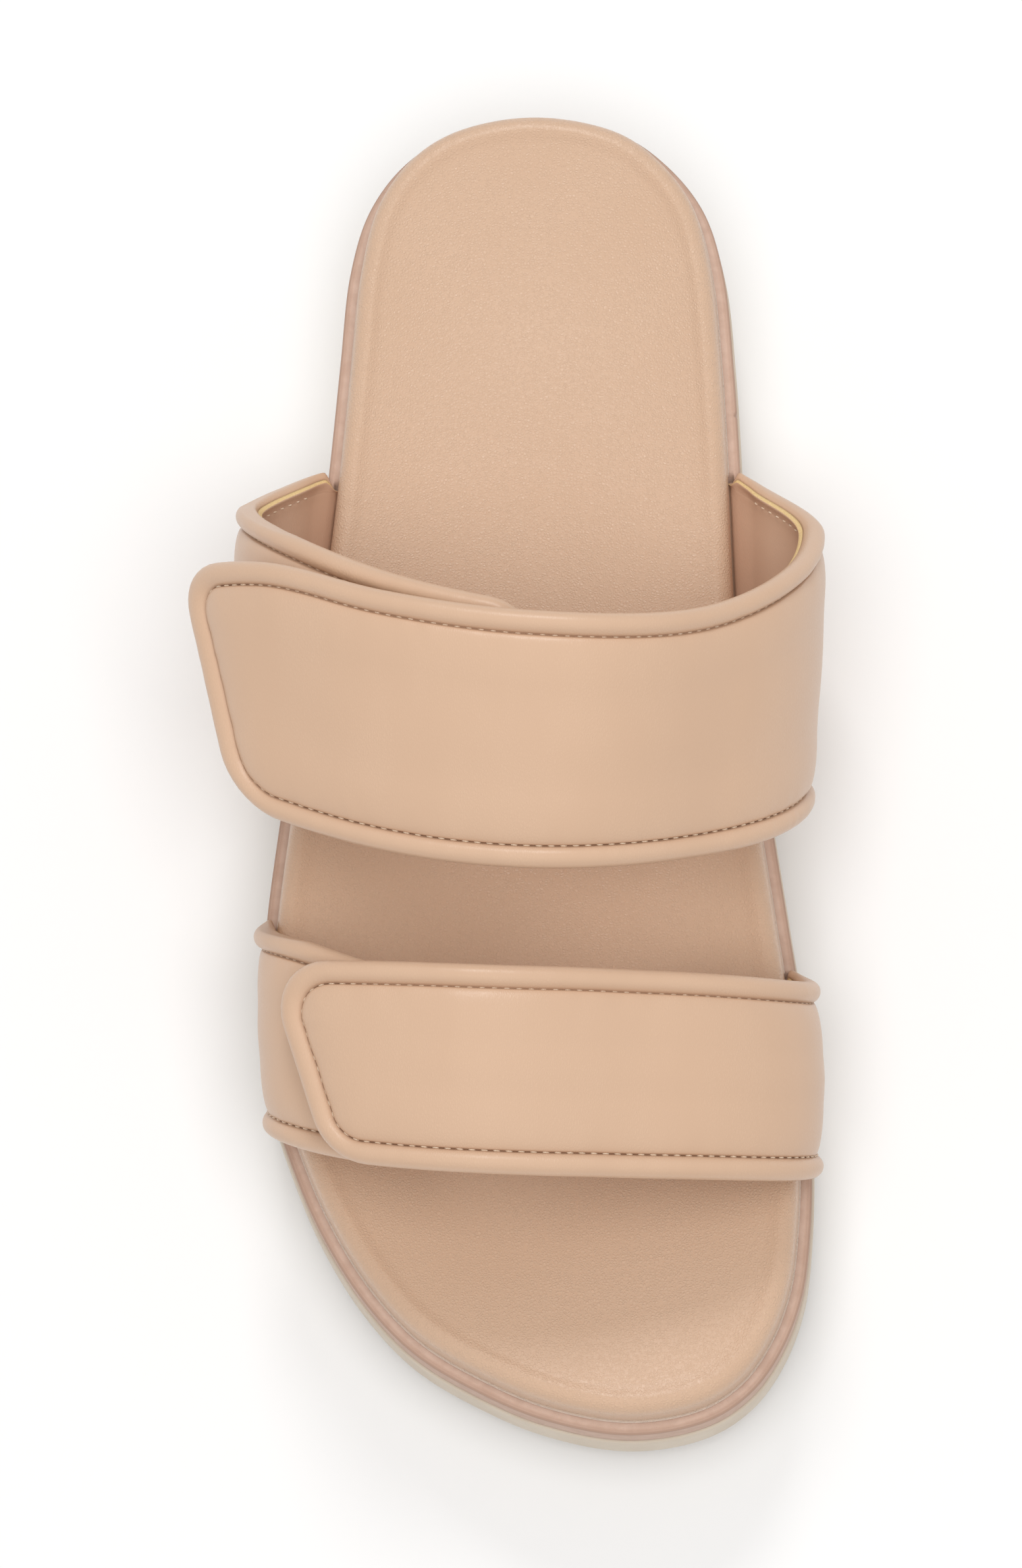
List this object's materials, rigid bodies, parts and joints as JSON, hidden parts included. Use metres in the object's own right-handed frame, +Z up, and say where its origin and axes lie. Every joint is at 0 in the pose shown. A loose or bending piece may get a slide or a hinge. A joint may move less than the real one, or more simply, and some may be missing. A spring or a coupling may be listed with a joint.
{
  "type": "slide sandal",
  "caption": "Right slide sandal with two padded, piped straps that close with overlapping flaps, a wrapped dished footbed and a thick sole.",
  "frame": {"origin": "centre of the bounding box on the floor plane, under the waist of the sole", "axes": "+Z up; the toe points along -Y and the heel along +Y; the big toe is on the +X side"},
  "size_m": [0.1196, 0.2588, 0.0999],
  "materials": {
    "ivory_rubber": "matt",
    "blush_foam": "matt foam",
    "nude_leather": "smooth, soft sheen"
  },
  "bodies": {
    "root": {"outsole": "ivory_rubber", "midsole": "blush_foam", "footbed": "nude_leather", "instep_strap_lower": "nude_leather", "instep_strap_upper": "nude_leather", "toe_strap_lower": "nude_leather", "toe_strap_upper": "nude_leather"}
  },
  "joints": []
}
